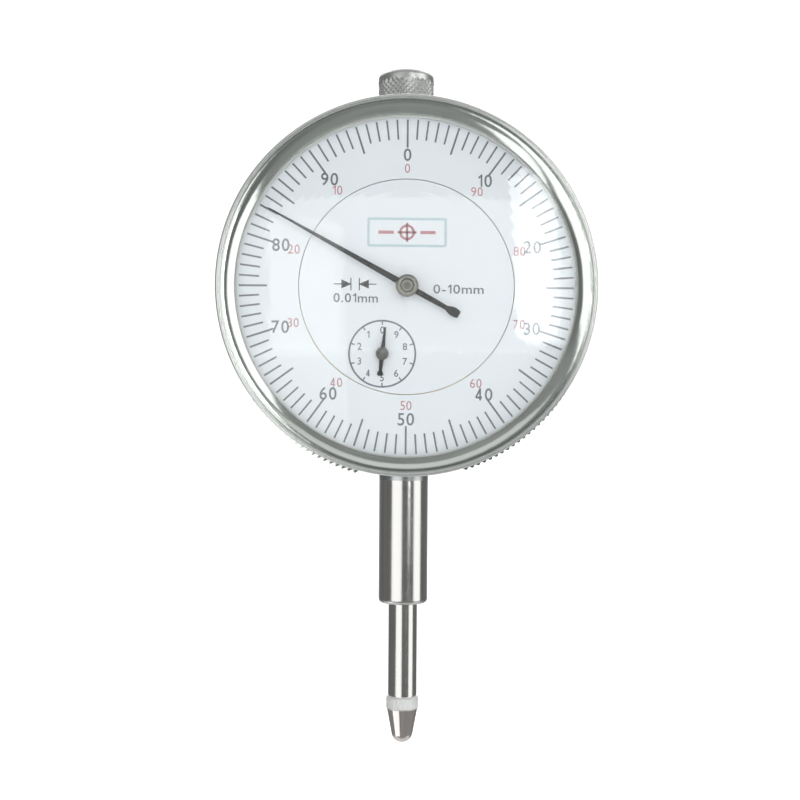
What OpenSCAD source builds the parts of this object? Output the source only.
// Dial indicator, 10 mm travel, 0.01 mm graduation.
// Z runs up along the spindle and the dial faces -Y. The origin is the middle
// of the stem's clamping length, on the spindle's axis.

/* [Dial and bezel] */
// Height of the dial's centre above the middle of the stem
dial_z = 40.5; // [40.5:0.5:44]
// Radius of the smooth barrel of the bezel
bezel_r = 29.8; // [29.4:0.1:30.2]
// Radius over the knurled grips of the bezel
grip_r = 30.5; // [30.2:0.1:30.7]
// Number of knurled grips round the bezel
grips = 5; // [3:1:6]
// Angle that one grip covers, in degrees
grip_angle = 40; // [20:1:44]
// Knurl teeth on one grip
grip_teeth = 20; // [8:1:24]
// Radius of the fixed dial in the middle
centre_dial_r = 16.9; // [16:0.05:18]
// Thickness of the fixed dial and of the scale ring
dial_t = 0.4; // [0.3:0.05:0.5]
// Height of the crystal's dome above its rim
dome_rise = 2.6; // [1.5:0.1:3]

/* [Case] */
// Outer radius of the case
case_r = 28; // [27.8:0.1:28.1]
// Inner radius of the case
case_bore_r = 25.4; // [25.2:0.1:25.6]
// Depth of the case in front of the spindle's axis
case_front = 8.2; // [8:0.1:8.3]
// Depth of the case behind the spindle's axis
case_rear = 7.2; // [7:0.1:9]
// Thickness of the back cover
cover_t = 1.5; // [1.2:0.1:2]
// Thickness of the lug on the back cover
lug_t = 5; // [4:0.5:8]
// Diameter of the hole in the lug
lug_hole_d = 6.5; // [6:0.1:6.6]

/* [Stem and spindle] */
// Diameter of the clamping stem
stem_d = 8; // [8:0.01:8]
// Length of the stem's full diameter
stem_length = 19.4; // [18:0.2:19.4]
// Diameter of the spindle
spindle_d = 4.7; // [4.6:0.05:4.7]
// Travel of the spindle
travel = 10.2; // [8:0.1:10.2]
// Radial running clearance of the spindle in its bushes
running_gap = 0.03; // [0.02:0.005:0.06]
// Diameter of the dust cap
cap_d = 9.1; // [8.6:0.1:9.4]

/* [Gear train] */
// Module of the dial gears
gear_module = 0.204; // [0.204:0.001:0.206]
// Teeth of the two large gears
gear_teeth = 100; // [100:1:100]
// Teeth of the centre pinion
pinion_teeth = 10; // [10:1:10]
// Pitch of the rack's teeth
rack_pitch = 0.625; // [0.625:0.001:0.625]
// Teeth of the pinion that the rack turns
rack_pinion_teeth = 16; // [16:1:16]
// Sideways distance of the counter arbor from the spindle's axis
counter_x = -3.78; // [-3.8:0.01:-3.74]

/* [Hands] */
// Length of the main hand from its centre to its tip
hand_length = 24.9; // [20:0.1:25.2]
// Length of the main hand's tail
hand_tail = 9.3; // [6:0.1:11]
// Length of the counter hand from its centre to its tip
small_hand_length = 4.2; // [3:0.1:4.6]
// Length of the counter hand's tail
small_hand_tail = 3.5; // [2:0.1:4]
// Angle of the main hand at rest, clockwise from twelve
hand_angle = -61.2; // [-90:0.1:90]
// Angle of the counter hand at rest, clockwise from twelve
small_hand_angle = 6.1; // [-20:0.1:20]

/* [Hidden] */
$fn = 96;

// Depths are counted forwards from the spindle's axis, towards the dial.
plate_rear = 3.2;
plate_front = 4.2;
gear_rear = 5.1;
gear_front = 5.7;
bridge_rear = 7.3;
bridge_front = 8.2;
dial_rear = 8.6;
dial_front = dial_rear + dial_t;
bezel_rear = 5;
bezel_crest = 12.5;
lip_front = 11.3;
lip_rear = 10.9;
crystal_rear = 10.0;
gasket_rear = 9.4;
small_hand_rear = 9.7;
hand_rear = 10.5;
hub_front = 11.8;

// Gear geometry. Each large gear meshes with the centre pinion.
rack_module = rack_pitch / PI;
rack_pinion_r = rack_module * rack_pinion_teeth / 2;
mesh_distance = gear_module * (gear_teeth + pinion_teeth) / 2;
counter_dz = -sqrt(mesh_distance * mesh_distance - counter_x * counter_x);
counter_dir = atan2(counter_dz, counter_x);
counter_z = dial_z + counter_dz;
half_tooth = 180 / gear_teeth;
plate_r = 24.9;
along = [cos(counter_dir), sin(counter_dir)];
across = [-sin(counter_dir), cos(counter_dir)];

// Heights along the spindle.
stem_top = stem_length / 2;
stem_round = 0.7;
stem_end = -stem_length / 2 - stem_round;
stem_inner_top = dial_z - 25;
spindle_r = spindle_d / 2;
spindle_foot = dial_z - 65.9;
spindle_top = dial_z + 25.2;
spindle_neck_r = 2.0;
upper_bush_r = 3.1;
pin_z = dial_z + 4;
pin_r = 0.8;
spring_x = 7.8;
spring_post_z = dial_z - 19;
rail_x = 5.2;

// Screws, shared by every fastener.
screw_r = 0.8;

// Bodies are turned about the dial's axis here: children's z is forwards.
module on_dial(x = 0, dz = 0, depth = 0) {
  translate([x, -depth, dial_z + dz]) rotate([90, 0, 0]) children();
}

// A flat shape as seen from the front, between two depths.
module layer(rear, front, x = 0, dz = 0) {
  on_dial(x, dz, rear) linear_extrude(front - rear) children();
}

// Places of the four bridge pillars, seen from the front.
pillar_places = [
  for (side = [-1, 1]) for (end = [-1, 1]) 13.5 * side * across + 3 * end * along
];
plate_screw_angles = [35, 145, 215, 325];

// Tooth outline of a spur gear, as a polygon with four points a tooth.
function gear_outline(teeth, m, add, ded, share) = [
  for (i = [0:teeth - 1])
    for (p = [[-1, -1], [-1, 1], [1, 1], [1, -1]])
      let (
        r = m * teeth / 2 + (p[1] > 0 ? add : -ded) * m,
        half = m * PI * share / 2 - (p[1] > 0 ? add : -ded) * m * tan(18),
        a = 360 * i / teeth + p[0] * half / (m * teeth / 2) * 180 / PI
      )
      [r * cos(a), r * sin(a)]
];

module screw(head_r, head_t, length) {
  difference() {
    cylinder(r = head_r, h = head_t);
    translate([-head_r - 1, -0.15, head_t * 0.55]) cube([2 * head_r + 2, 0.3, head_t]);
  }
  translate([0, 0, -length]) cylinder(r = screw_r, h = length + 0.1);
}

// ---- Case ----

boss_neck = 1.9;
boss_r = 4.7;
module case_shell() color("lightslategray") difference() {
  union() {
    on_dial(0, 0, 0) rotate_extrude() polygon([
      [case_bore_r, -case_rear + 1.6], [case_bore_r, case_front], [case_r - 0.6, case_front],
      [case_r, case_front - 0.6], [case_r, -case_rear + 0.8], [case_r - 0.8, -case_rear],
      [case_bore_r + 1.2, -case_rear], [case_bore_r + 1.2, -case_rear + 1.6]
    ]);
    // Bosses that carry the movement plate and the back cover.
    on_dial() for (a = plate_screw_angles) rotate(a) translate([23.4, 0, 0]) {
      translate([0, 0, -case_rear + 1.6]) cylinder(r = 2.3, h = plate_rear + case_rear - 1.6);
      translate([0, -2.3, -case_rear + 1.6]) cube([3, 4.6, plate_rear + case_rear - 1.6]);
    }
    // Boss round the stem's root, as wide as the stem where it shows below the bezel.
    translate([0, 0, stem_top]) cylinder(d = stem_d, h = boss_neck + 0.1);
    translate([0, 0, stem_top + boss_neck])
      cylinder(r = boss_r, h = stem_inner_top - stem_top - boss_neck);
    // The pad that the dust cap seats on.
    translate([0, 0, dial_z + 25.2]) cylinder(r = 4.2, h = 3.2);
  }
  on_dial() for (a = plate_screw_angles) rotate(a) translate([23.4, 0, 0]) {
    translate([0, 0, plate_rear - 3]) cylinder(r = screw_r, h = 4);
    translate([0, 0, -case_rear]) cylinder(r = screw_r, h = 5);
  }
  translate([0, 0, stem_top - 1]) cylinder(r = 3.4, h = 12);
  translate([0, 0, dial_z + 20]) cylinder(r = upper_bush_r, h = 12);
  // Groove for the spring ring that holds the bezel.
  on_dial(0, 0, 6.15) rotate_extrude() translate([case_r - 0.55, 0]) square([2, 0.9]);
}

lug_r = 6;
lug_y = case_rear + 7.9;
module back_cover() color("silver") difference() {
  union() {
    on_dial(0, 0, -case_rear - 0.4) rotate_extrude() polygon([
      [0, 0], [case_bore_r + 0.5, 0], [case_bore_r + 1.1, 0.6],
      [case_bore_r + 1.1, cover_t], [0, cover_t]
    ]);
    translate([-lug_t / 2, case_rear + 0.2, dial_z - lug_r])
      cube([lug_t, lug_y - case_rear - 0.2, 2 * lug_r]);
    translate([-lug_t / 2, lug_y, dial_z]) rotate([0, 90, 0]) cylinder(r = lug_r, h = lug_t);
    on_dial(0, 0, -case_rear - 1.4) cylinder(r = 9, h = 1.2);
  }
  translate([-lug_t, lug_y, dial_z]) rotate([0, 90, 0]) cylinder(d = lug_hole_d, h = 2 * lug_t);
  on_dial() for (a = plate_screw_angles) rotate(a) translate([23.4, 0, -case_rear - 2])
    cylinder(r = screw_r + 0.1, h = 4);
}

module cover_gasket() color("black")
  on_dial(0, 0, -case_rear + 1.1) rotate_extrude() translate([case_bore_r + 0.1, 0])
    square([1, 0.5]);

module cover_screws() color("gainsboro")
  on_dial() for (a = plate_screw_angles) rotate(a) translate([23.4, 0, -case_rear - 0.4])
    mirror([0, 0, 1]) screw(1.5, 0.9, 4.4);

module stem() color("silver") rotate_extrude() polygon(concat(
  [[3.0, stem_end], [stem_d / 2 - stem_round, stem_end]],
  [for (a = [-75:15:-15]) [
    stem_d / 2 - stem_round + stem_round * cos(a), -stem_length / 2 + stem_round * sin(a)
  ]],
  [[stem_d / 2, -stem_length / 2], [stem_d / 2, stem_top], [3.4, stem_top],
   [3.4, stem_inner_top], [3.0, stem_inner_top]]
));

module stem_bush() color("peru") difference() {
  translate([0, 0, stem_end]) cylinder(r = 3.0, h = 9);
  translate([0, 0, stem_end - 1]) cylinder(r = spindle_r + running_gap, h = 12);
}

module stop_washer() color("dimgray") difference() {
  translate([0, 0, stem_inner_top]) cylinder(r = 3.1, h = 0.5);
  translate([0, 0, stem_inner_top - 1]) cylinder(r = spindle_r + 0.2, h = 3);
}

module upper_bush() color("peru") difference() {
  union() {
    translate([0, 0, dial_z + 20.5]) cylinder(r = upper_bush_r, h = 11.5);
    translate([0, 0, dial_z + 28.4]) cylinder(r = 3.5, h = 3.6);
  }
  translate([0, 0, dial_z + 20]) cylinder(r = spindle_neck_r + running_gap, h = 14);
}

cap_base = dial_z + 28.5;
cap_height = 7.6;
module dust_cap() color("gray") difference() {
  translate([0, 0, cap_base]) rotate_extrude() polygon([
    [0, 0], [cap_d / 2 - 0.3, 0], [cap_d / 2, 0.4], [cap_d / 2, cap_height - 0.9],
    [cap_d / 2 - 0.25, cap_height - 0.45], [cap_d / 2 - 0.9, cap_height - 0.15],
    [cap_d / 4, cap_height - 0.05], [0, cap_height]
  ]);
  translate([0, 0, cap_base - 1]) cylinder(r = 3.5, h = 5.5);
  translate([0, 0, cap_base - 1]) cylinder(r = 2.9, h = 8.3);
}

module bezel_spring_ring() color("dimgray")
  on_dial(0, 0, 6.6) rotate(95) rotate_extrude(angle = 340) translate([case_r - 0.14, 0])
    circle(r = 0.33, $fn = 24);

// ---- Movement frame ----

module movement_plate() color("burlywood") difference() {
  layer(plate_rear, plate_front) difference() {
    circle(r = plate_r);
    for (a = plate_screw_angles) rotate(a) translate([23.4, 0]) circle(r = screw_r + 0.1);
    // Windows that lighten the plate.
    translate([-15.5, 12.5]) circle(r = 4.5);
    translate([16.5, -11]) circle(r = 4.5);
  }
  layer(plate_rear - 1, plate_front + 1) {
    circle(r = 0.9);
    translate(-mesh_distance * along) circle(r = 0.9);
    translate(mesh_distance * along) circle(r = 1.1);
    for (p = pillar_places) translate(p) circle(r = screw_r);
    translate([counter_x - 6.2, counter_dz - 2]) circle(r = screw_r);
    translate([counter_x - 6.2, counter_dz + 2]) circle(r = screw_r);
    translate([rail_x + 3.2, 5]) circle(r = screw_r);
    translate([rail_x + 3.2, 15]) circle(r = screw_r);
    translate([spring_x, spring_post_z - dial_z]) circle(r = 0.6);
  }
}

module plate_screws() color("gainsboro")
  on_dial() for (a = plate_screw_angles) rotate(a) translate([23.4, 0, plate_front])
    screw(1.45, 0.8, 3.8);

module bridge_pillars() color("goldenrod")
  on_dial(0, 0, plate_front) for (p = pillar_places) translate([p[0], p[1], 0]) difference() {
    union() {
      cylinder(r = 1.5, h = bridge_rear - plate_front);
      translate([0, 0, plate_rear - plate_front + 0.1]) cylinder(r = screw_r, h = 1.5);
    }
    translate([0, 0, bridge_rear - plate_front - 2]) cylinder(r = 0.6, h = 4);
  }

module bridge_outline() {
  rotate(counter_dir) {
    translate([-mesh_distance, -3]) square([2 * mesh_distance, 6]);
    translate([-5, -13.5]) square([10, 27]);
  }
  for (p = pillar_places) translate(p) circle(r = 2.2);
  for (s = [-1, 1]) translate(s * mesh_distance * along) circle(r = 3.4);
  for (s = [-1, 1]) translate(13.5 * s * across) rotate(counter_dir) square([6, 4], center = true);
}

module front_bridge() color("burlywood") difference() {
  layer(bridge_rear, bridge_front) difference() {
    bridge_outline();
    for (p = pillar_places) translate(p) circle(r = 0.7);
    for (s = [-1, 1]) translate(7 * s * across) circle(r = 0.5);
    for (s = [-1, 1]) translate(s * mesh_distance * along) circle(r = 1.1);
    circle(r = 1.1);
    translate([takeup_x + spiral_out * cos(stud_angle), takeup_dz + spiral_out * sin(stud_angle)])
      circle(r = stud_r);
  }
}

module bridge_screws() color("gainsboro")
  for (p = pillar_places) on_dial(p[0], p[1], 0) {
    difference() {
      translate([0, 0, bridge_front]) cylinder(r = 1.1, h = 0.3);
      translate([-2, -0.12, bridge_front + 0.18]) cube([4, 0.24, 1]);
    }
    translate([0, 0, bridge_front - 2.2]) cylinder(r = 0.6, h = 2.3);
  }

module bush_ring(rear, front, outer_r, inner_r) difference() {
  translate([0, 0, rear]) cylinder(r = outer_r, h = front - rear);
  translate([0, 0, rear - 1]) cylinder(r = inner_r, h = front - rear + 2);
}

// Rear pivots run in 0.35 mm radius holes and front journals in 0.5 mm ones.
pivot_r = 0.35;
journal_r = 0.5;
pivot_gap = 0.02;
module arbor_bushes() color("darkgoldenrod") {
  on_dial() bush_ring(plate_rear, plate_front, 0.9, pivot_r + pivot_gap);
  on_dial(-mesh_distance * along[0], -mesh_distance * along[1])
    bush_ring(plate_rear, plate_front, 0.9, pivot_r + pivot_gap);
  on_dial(counter_x, counter_dz) bush_ring(bracket_rear, bracket_front, 0.9, pivot_r + pivot_gap);
  for (s = [-1, 0, 1]) on_dial(s * mesh_distance * along[0], s * mesh_distance * along[1])
    bush_ring(bridge_rear, bridge_front, 1.1, journal_r + pivot_gap);
}

bracket_rear = -3.6;
bracket_front = -2.7;
module pinion_bracket() color("burlywood") difference() {
  union() {
    layer(bracket_rear, bracket_front) difference() {
      union() {
        translate([counter_x, counter_dz]) circle(r = 1.9);
        translate([counter_x - 7.6, counter_dz - 1.9]) square([7.6, 3.8]);
        translate([counter_x - 7.8, counter_dz - 3.4]) square([3.2, 6.8]);
      }
      translate([counter_x, counter_dz]) circle(r = 0.9);
    }
    layer(bracket_front - 0.1, plate_rear) translate([counter_x - 7.8, counter_dz - 3.4])
      square([3.2, 6.8]);
  }
  for (s = [-2, 2]) layer(bracket_rear - 1, plate_rear + 1)
    translate([counter_x - 6.2, counter_dz + s]) circle(r = screw_r);
}

module bracket_screws() color("gainsboro")
  for (s = [-2, 2]) on_dial(counter_x - 6.2, counter_dz + s, bracket_rear) mirror([0, 0, 1])
    screw(1.3, 0.7, plate_rear - bracket_rear + 0.8);

// ---- Anti-rotation guide and return spring ----

rail_bottom = pin_z - 2.4;
rail_top = pin_z + travel + 2.6;
module guide_rail() color("silver") difference() {
  union() {
    translate([rail_x - 0.7, -plate_rear, rail_bottom])
      cube([1.4, plate_rear + 2.2, rail_top - rail_bottom]);
    translate([rail_x - 0.7, -plate_rear, rail_bottom]) cube([5.6, 0.9, rail_top - rail_bottom]);
  }
  translate([rail_x - 2, -1.25, pin_z - 1.3]) cube([4, 2.5, travel + 2.7]);
  for (dz = [5, 15]) on_dial(rail_x + 3.2, dz, 0) cylinder(r = screw_r, h = 5);
}

module rail_screws() color("gainsboro")
  for (dz = [5, 15]) on_dial(rail_x + 3.2, dz, plate_rear - 0.9) mirror([0, 0, 1])
    screw(1.3, 0.6, 1.7);

module spring_post() color("silver") on_dial(spring_x, spring_post_z - dial_z, 0) {
  translate([0, 0, -1.2]) cylinder(r = 0.95, h = 0.5);
  translate([0, 0, -0.8]) cylinder(r = 0.55, h = 1.6);
  translate([0, 0, 0.7]) cylinder(r = 0.95, h = plate_rear - 0.7);
  translate([0, 0, plate_rear - 0.1]) cylinder(r = 0.6, h = 0.9);
}

// Wire swept along a list of points, as a closed tube with flat ends.
function unit(v) = v / norm(v);
function path_dir(p, i) = unit(p[min(i + 1, len(p) - 1)] - p[max(i - 1, 0)]);
function side_dir(d) = unit(cross(d, abs(d[1]) > 0.9 ? [0, 0, 1] : [0, 1, 0]));
module wire(path, r, sides) {
  rings = [
    for (i = [0:len(path) - 1])
      let (d = path_dir(path, i), u = side_dir(d), v = cross(d, u))
      for (k = [0:sides - 1])
        path[i] + r * (cos(360 * k / sides) * u + sin(360 * k / sides) * v)
  ];
  n = len(path);
  polyhedron(rings, concat(
    [[for (k = [0:sides - 1]) k]],
    [[for (k = [sides - 1:-1:0]) (n - 1) * sides + k]],
    [
      for (i = [0:n - 2]) for (k = [0:sides - 1])
        let (k2 = (k + 1) % sides)
        [i * sides + k, (i + 1) * sides + k, (i + 1) * sides + k2, i * sides + k2]
    ]
  ));
}

coil_turns = 20;
coil_steps = 10;
coil_r = 1.05;
wire_r = 0.13;
coil_bottom = spring_post_z + 2.1;
coil_top = pin_z - 2.3;
hook_r = 0.75;
module return_spring() color("lightgray") {
  coil = [
    for (i = [0:coil_turns * coil_steps])
      let (a = 360 * i / coil_steps, h = i / (coil_turns * coil_steps))
      [spring_x + coil_r * cos(a), coil_r * sin(a), coil_bottom + h * (coil_top - coil_bottom)]
  ];
  lower_hook = [
    for (a = [-150:30:90]) [
      spring_x + hook_r * sin(a), -0.02 * a / 150,
      spring_post_z + hook_r * -cos(a)
    ]
  ];
  upper_hook = [for (a = [-80:28:200]) [spring_x, hook_r * -sin(a), pin_z + hook_r * cos(a)]];
  wire(concat(
    lower_hook, [[spring_x + 1.0, -0.3, spring_post_z + 1.2]],
    coil,
    [[spring_x + 0.5, 0.9, coil_top + 0.5], [spring_x + 0.1, 1.0, coil_top + 1.2]],
    upper_hook
  ), wire_r, 5);
}

// ---- Take-up gear and its hairspring ----

takeup_x = -mesh_distance * along[0];
takeup_dz = -mesh_distance * along[1];
spiral_turns = 6;
spiral_in = 1.35;
spiral_out = 5.2;
spiral_t = 0.14;
stud_angle = counter_dir + 10;
function spiral_point(i, n, off) =
  let (a = stud_angle - 360 * spiral_turns * (1 - i / n),
       r = spiral_in + (spiral_out - spiral_in) * i / n + off)
  [r * cos(a), r * sin(a)];
module hairspring() color("steelblue") {
  n = spiral_turns * 20;
  layer(6.1, 6.6, takeup_x, takeup_dz) polygon(concat(
    [for (i = [0:n]) spiral_point(i, n, spiral_t / 2)],
    [for (i = [n:-1:0]) spiral_point(i, n, -spiral_t / 2)]
  ));
}

stud_r = 0.45;
module hairspring_stud() color("goldenrod")
  on_dial(takeup_x, takeup_dz, 0) rotate(stud_angle) translate([spiral_out, 0, 0]) difference() {
    translate([0, 0, 6.0]) cylinder(r = stud_r, h = bridge_front - 6.0);
    translate([-spiral_t / 2, -1, 5]) cube([spiral_t, 2, 1.6]);
  }

module hairspring_collet() color("goldenrod")
  on_dial(takeup_x, takeup_dz, 0) difference() {
    translate([0, 0, 6.0]) cylinder(r = spiral_in - spiral_t / 2, h = 0.8);
    translate([0, 0, 5]) cylinder(r = 0.6, h = 3);
  }

module takeup_arbor() color("lightsteelblue") on_dial(takeup_x, takeup_dz, 0) {
  translate([0, 0, plate_rear]) cylinder(r = pivot_r, h = 2);
  translate([0, 0, plate_front + 0.1]) cylinder(r = 0.6, h = bridge_rear - plate_front - 0.2);
  translate([0, 0, bridge_rear - 0.2]) cylinder(r = journal_r, h = 1.1);
}

// ---- Gears ----

module large_gear(turn) {
  difference() {
    rotate(turn) polygon(gear_outline(gear_teeth, gear_module, 0.7, 0.95, 0.44));
    circle(r = 1.0);
    for (i = [0:4]) rotate(72 * i) translate([5.8, 0]) circle(r = 2.7);
  }
}

module takeup_gear() color("gold")
  layer(gear_rear, gear_front, takeup_x, takeup_dz) large_gear(counter_dir + half_tooth);

module counter_gear() color("gold")
  layer(gear_rear, gear_front, counter_x, counter_dz) large_gear(counter_dir + 180 + half_tooth);

module gear_collet() difference() {
  union() {
    translate([0, 0, gear_rear - 0.6]) cylinder(r = 1.6, h = 0.6);
    translate([0, 0, gear_rear - 0.1]) cylinder(r = 1.0, h = gear_front - gear_rear + 0.2);
  }
  translate([0, 0, gear_rear - 2]) cylinder(r = 0.6, h = 4);
}

module takeup_gear_collet() color("goldenrod") on_dial(takeup_x, takeup_dz) gear_collet();
module counter_gear_collet() color("goldenrod") on_dial(counter_x, counter_dz) gear_collet();

module counter_arbor() color("lightsteelblue") on_dial(counter_x, counter_dz) {
  translate([0, 0, bracket_rear]) cylinder(r = pivot_r, h = 1.5);
  translate([0, 0, bracket_front + 0.15]) cylinder(r = 0.6, h = bridge_rear - bracket_front - 0.25);
  translate([0, 0, -1.3]) linear_extrude(2.6)
    polygon(gear_outline(rack_pinion_teeth, rack_module, 0.75, 0.95, 0.44));
  translate([0, 0, bridge_rear - 0.2]) cylinder(r = journal_r, h = small_hand_rear + 0.7 - bridge_rear);
}

module centre_arbor() color("lightsteelblue") on_dial() {
  translate([0, 0, plate_rear]) cylinder(r = pivot_r, h = 1.6);
  rotate(counter_dir) translate([0, 0, gear_rear - 0.5]) linear_extrude(1.6)
    polygon(gear_outline(pinion_teeth, gear_module, 0.7, 0.95, 0.44));
  translate([0, 0, plate_front + 0.1]) cylinder(r = 0.6, h = bridge_rear - plate_front - 0.2);
  translate([0, 0, bridge_rear - 0.2]) cylinder(r = journal_r, h = hub_front - bridge_rear);
}

// ---- Dials and hands ----

module centre_dial() color("white") {
  layer(dial_rear, dial_front) difference() {
    circle(r = centre_dial_r);
    circle(r = 1.1);
    translate([counter_x, counter_dz]) circle(r = 1.0);
  }
  for (s = [-1, 1]) on_dial(7 * s * across[0], 7 * s * across[1], bridge_rear)
    cylinder(r = 0.5, h = dial_rear - bridge_rear + 0.1);
}

scale_inner_r = centre_dial_r + 0.12;
ring_seat_r = 27.4;
seat_gap = 0.02;
module scale_ring() color("white")
  layer(dial_rear, dial_front) difference() {
    circle(r = ring_seat_r - seat_gap);
    circle(r = scale_inner_r);
  }

// Pointer with a spade tail, pointing to twelve.
module pointer(length, tail, root_w, tip_w, spade_w) {
  polygon([
    [-tip_w / 2, length - 0.3], [0, length], [tip_w / 2, length - 0.3], [root_w / 2, 0],
    [root_w * 0.3, -tail * 0.5], [spade_w / 2, -tail * 0.82], [0, -tail],
    [-spade_w / 2, -tail * 0.82], [-root_w * 0.3, -tail * 0.5], [-root_w / 2, 0]
  ]);
}

module main_hand() color("black") on_dial() difference() {
  union() {
    rotate(-hand_angle) translate([0, 0, hand_rear]) linear_extrude(0.2)
      pointer(hand_length, hand_tail, 0.85, 0.2, 1.4);
    translate([0, 0, hand_rear]) cylinder(r = 1.5, h = 0.2);
  }
  translate([0, 0, hand_rear - 1]) cylinder(r = 1.0, h = 3);
}

module main_hand_hub() color("rosybrown") on_dial() difference() {
  union() {
    translate([0, 0, hand_rear - 0.7]) cylinder(r = 1.3, h = 0.7);
    translate([0, 0, hand_rear - 0.1]) cylinder(r = 1.0, h = 0.4);
    translate([0, 0, hand_rear + 0.2]) cylinder(r = 1.75, h = hub_front - hand_rear - 0.45);
  }
  translate([0, 0, hand_rear - 1]) cylinder(r = journal_r, h = 3);
}

module counter_hand() color("black") on_dial(counter_x, counter_dz) difference() {
  union() {
    rotate(-small_hand_angle) translate([0, 0, small_hand_rear]) linear_extrude(0.15)
      pointer(small_hand_length, small_hand_tail, 0.6, 0.2, 0.8);
    translate([0, 0, small_hand_rear]) cylinder(r = 1.0, h = 0.15);
  }
  translate([0, 0, small_hand_rear - 1]) cylinder(r = 0.7, h = 3);
}

module counter_hand_hub() color("dimgray") on_dial(counter_x, counter_dz) difference() {
  union() {
    translate([0, 0, small_hand_rear - 0.3]) cylinder(r = 0.9, h = 0.3);
    translate([0, 0, small_hand_rear - 0.1]) cylinder(r = 0.7, h = 0.6);
    translate([0, 0, small_hand_rear + 0.15]) cylinder(r = 1.0, h = 0.4);
  }
  translate([0, 0, small_hand_rear - 1]) cylinder(r = journal_r, h = 3);
}

// ---- Bezel ----

lip_r = 26.9;
slope_rise = 1.0;
bead_r = 0.4;
bead_inner_r = bezel_r - 2 * bead_r;
groove_width = 0.4;
groove_r = bead_inner_r - groove_width;
groove_floor = lip_front + 0.65;
module bezel_ring() color("silver") on_dial() difference() {
  union() {
    rotate_extrude() polygon(concat(
      [[ring_seat_r, dial_rear - 0.2], [ring_seat_r, lip_rear], [lip_r, lip_rear]],
      // The slope towards the crystal, rolled over towards its top.
      [for (t = [0:0.2:1]) [
        lip_r + t * (groove_r - lip_r), lip_front + slope_rise * (1.5 * t - 0.5 * t * t)
      ]],
      // A narrow groove, and the bead round the outside of it.
      [[groove_r + 0.06, groove_floor], [bead_inner_r - 0.02, groove_floor]],
      [for (a = [168:-24:0]) [
        bezel_r - bead_r + bead_r * cos(a), bezel_crest - bead_r + bead_r * sin(a)
      ]],
      [[bezel_r, 7.9], [bezel_r - 0.4, 7.6], [bezel_r - 0.4, 7.3], [grip_r - 0.9, 7.1],
       [grip_r - 0.7, 6.9], [grip_r - 0.7, bezel_rear + 0.2], [grip_r - 0.9, bezel_rear],
       [case_r + 0.05, bezel_rear], [case_r + 0.05, dial_rear - 0.2]]
    ));
    for (g = [0:grips - 1]) rotate(144 + g * 360 / grips) translate([0, 0, bezel_rear + 0.35])
      linear_extrude(1.4) knurled_sector();
  }
  translate([0, 0, 6.15]) rotate_extrude() translate([case_r, 0]) square([0.5, 0.9]);
}

module knurled_sector() {
  step = grip_angle / grip_teeth;
  root = grip_r - 0.28;
  polygon(concat(
    [for (a = [grip_angle:-2:0]) (case_r + 0.9) * [cos(a), sin(a)]],
    [
      for (i = [0:grip_teeth - 1])
        for (q = [[0.0, root], [0.3, grip_r], [0.7, grip_r]])
          q[1] * [cos((i + q[0]) * step), sin((i + q[0]) * step)]
    ],
    [root * [cos(grip_angle), sin(grip_angle)]]
  ));
}

dome_r = 26.8;
function arc_radius(half_chord, rise) = (half_chord * half_chord + rise * rise) / (2 * rise);
module dome_profile(edge_r, base, rise, steps) {
  big = arc_radius(edge_r, rise);
  for_angle = asin(edge_r / big);
  polygon(concat(
    [for (i = [0:steps]) let (a = for_angle * i / steps)
      [big * sin(a), base + rise - big * (1 - cos(a))]],
    [[0, base]]
  ));
}

dome_base = lip_front - 0.1;
cavity_r = 26.95;
cavity_top = 10.5;
module crystal() color("azure", 0.35) on_dial() difference() {
  union() {
    translate([0, 0, crystal_rear])
      cylinder(r = ring_seat_r - seat_gap, h = lip_rear - crystal_rear);
    translate([0, 0, lip_rear - 0.1]) cylinder(r = dome_r, h = dome_base - lip_rear + 0.1);
    rotate_extrude() dome_profile(dome_r, dome_base, dome_rise, 24);
  }
  rotate_extrude() dome_profile(cavity_r, cavity_top, dome_rise - 0.2, 24);
  translate([0, 0, crystal_rear - 1]) cylinder(r = cavity_r, h = cavity_top - crystal_rear + 1.001);
}

module crystal_gasket() color("whitesmoke")
  layer(gasket_rear, crystal_rear) difference() {
    circle(r = ring_seat_r - seat_gap);
    circle(r = 26.6);
  }

// ---- Spindle ----

rack_top = counter_z + 2.2;
rack_bottom = counter_z - travel - 2.0;
rack_tip_x = counter_x + rack_pinion_r - 0.75 * rack_module;
rack_root_x = counter_x + rack_pinion_r + 0.95 * rack_module;
module rack_gap(z) {
  translate([0, 0, z]) rotate([90, 0, 0]) translate([0, 0, -3]) linear_extrude(6) {
    half_tip = rack_pitch * 0.28 + 0.75 * rack_module * tan(18);
    half_root = rack_pitch * 0.28 - 0.95 * rack_module * tan(18);
    polygon([
      [rack_tip_x - 0.5, -half_tip], [rack_tip_x, -half_tip], [rack_root_x, -half_root],
      [rack_root_x, half_root], [rack_tip_x, half_tip], [rack_tip_x - 0.5, half_tip]
    ]);
  }
}

neck_z = dial_z + 9.5;
module spindle() color("silver") difference() {
  union() {
    translate([0, 0, spindle_foot]) cylinder(r = spindle_r, h = neck_z - spindle_foot);
    translate([0, 0, neck_z - 0.1]) cylinder(r = spindle_neck_r, h = spindle_top - neck_z + 0.1);
  }
  translate([-4, -3, rack_bottom]) cube([4 + rack_tip_x, 6, rack_top - rack_bottom]);
  for (k = [ceil((rack_bottom - counter_z) / rack_pitch + 0.5)
            : floor((rack_top - counter_z) / rack_pitch - 0.5)])
    rack_gap(counter_z + k * rack_pitch);
  translate([0, 0, spindle_foot - 1]) cylinder(r = 1.25, h = 6);
  translate([0, 0, pin_z]) rotate([0, 90, 0]) cylinder(r = pin_r, h = 4);
}

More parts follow.
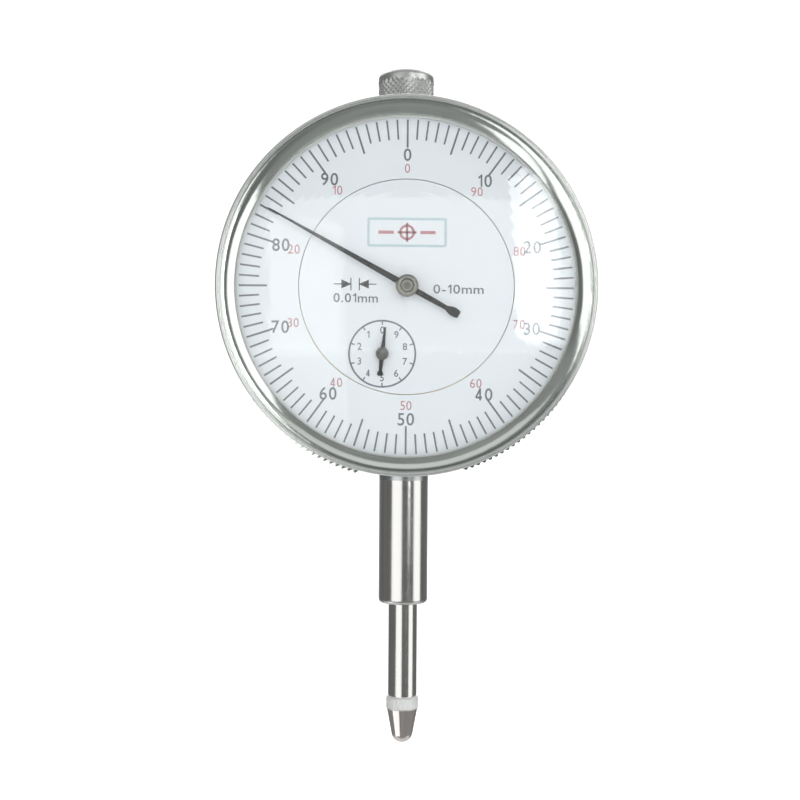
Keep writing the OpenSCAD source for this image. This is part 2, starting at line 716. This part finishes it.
nose_r = 1.75;
tip_z = dial_z - 73.7;
collar_teeth = 36;
module contact_point() color("silver") {
  difference() {
    contact_body();
    for (i = [0:collar_teeth - 1]) rotate(i * 360 / collar_teeth)
      translate([2.68, 0, spindle_foot - 1.9]) cylinder(r = 0.13, h = 1.2, $fn = 24);
  }
  translate([0, 0, spindle_foot - 0.1]) cylinder(r = 1.25, h = 4.6);
}

module contact_body() {
  rotate_extrude() polygon(concat(
    [[0, spindle_foot], [2.2, spindle_foot], [2.2, spindle_foot - 0.2],
     [2.5, spindle_foot - 0.35], [2.62, spindle_foot - 0.5], [2.62, spindle_foot - 2.1],
     [2.5, spindle_foot - 2.3]],
    [for (a = [-8:-8.2:-90]) [nose_r * cos(a), tip_z + nose_r + nose_r * sin(a)]]
  ));
}

module stop_collar() color("gray") difference() {
  translate([0, 0, stem_inner_top + 0.55]) cylinder(r = 2.95, h = 1.1);
  translate([0, 0, stem_inner_top]) cylinder(r = spindle_r, h = 3);
}

module guide_pin() color("silver") translate([0, 0, pin_z]) rotate([0, 90, 0]) {
  translate([0, 0, 1.0]) cylinder(r = pin_r, h = 5.4);
  translate([0, 0, 6.3]) cylinder(r = 0.55, h = 2.4);
  translate([0, 0, 8.6]) cylinder(r = 0.8, h = 0.4);
}

module guide_roller() color("goldenrod") translate([0, 0, pin_z]) rotate([0, 90, 0]) difference() {
  translate([0, 0, rail_x - 0.9]) cylinder(r = 1.2, h = 1.8);
  translate([0, 0, rail_x - 2]) cylinder(r = pin_r, h = 4);
}

case_shell();
back_cover();
cover_gasket();
cover_screws();
stem();
stem_bush();
stop_washer();
upper_bush();
dust_cap();
movement_plate();
plate_screws();
bridge_pillars();
front_bridge();
bridge_screws();
arbor_bushes();
pinion_bracket();
bracket_screws();
guide_rail();
rail_screws();
spring_post();
hairspring_stud();
hairspring();
centre_dial();
bezel_spring_ring();
bezel_ring();
crystal();
crystal_gasket();
scale_ring();
spindle();
contact_point();
stop_collar();
guide_pin();
guide_roller();
return_spring();
centre_arbor();
main_hand();
main_hand_hub();
counter_arbor();
counter_gear();
counter_gear_collet();
counter_hand();
counter_hand_hub();
takeup_arbor();
takeup_gear();
takeup_gear_collet();
hairspring_collet();
